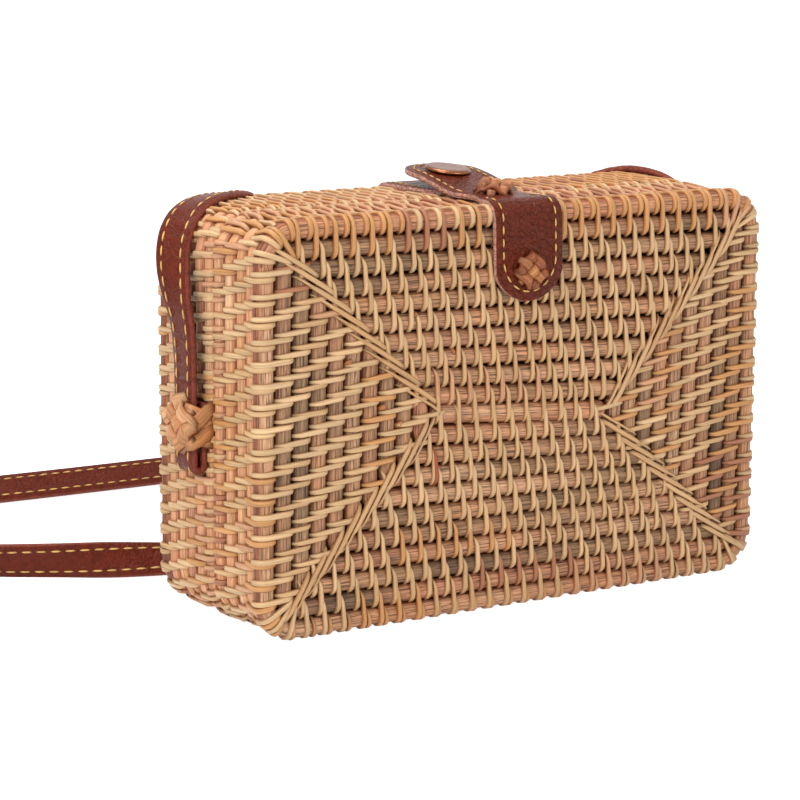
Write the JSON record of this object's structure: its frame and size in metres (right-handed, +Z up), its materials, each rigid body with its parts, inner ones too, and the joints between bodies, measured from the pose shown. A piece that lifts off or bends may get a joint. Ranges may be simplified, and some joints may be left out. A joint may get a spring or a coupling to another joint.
{
  "type": "rattan box bag",
  "caption": "Rectangular clamshell shoulder bag of coiled rattan rods bound with cane, with a leather snap closure, plaited cane knots and a leather strap.",
  "frame": {"origin": "on the ground under the middle of the woven box, the strap left out", "axes": "+X along the width, +Y from the front face to the back face, +Z up"},
  "size_m": [0.3107, 0.2638, 0.1463],
  "materials": {
    "rattan": "oiled, satin",
    "cane": "satin",
    "closure_leather": "grained",
    "strap_leather": "smooth, stitched",
    "lining_cloth": "plain cotton",
    "snap_metal": "polished"
  },
  "bodies": {
    "back_half": {"back_shell": "rattan", "back_lining": "lining_cloth", "hinge_tie_left": "cane", "hinge_tie_right": "cane", "stud_tab": "closure_leather", "back_knot": "cane", "snap_stud": "snap_metal", "strap_fold_left": "strap_leather", "strap_fold_right": "strap_leather", "strap_knot_left": "cane", "strap_knot_right": "cane", "shoulder_strap": "strap_leather"},
    "front_half": {"front_shell": "rattan", "front_lining": "lining_cloth", "closure_tab": "closure_leather", "front_knot": "cane", "top_knot": "cane"},
    "flap": {"closure_flap": "closure_leather", "snap_cap": "snap_metal", "snap_socket": "snap_metal"}
  },
  "joints": [
    {"name": "lid_swing", "type": "hinge", "parent": "back_half", "child": "front_half", "pos_m": [0, -0.0031, 0.0011], "axis": [1, 0, 0], "range_deg": [0, 110]},
    {"name": "flap_lift", "type": "hinge", "parent": "front_half", "child": "flap", "pos_m": [0, -0.009, 0.1355], "axis": [1, 0, 0], "range_deg": [0, 100]}
  ]
}
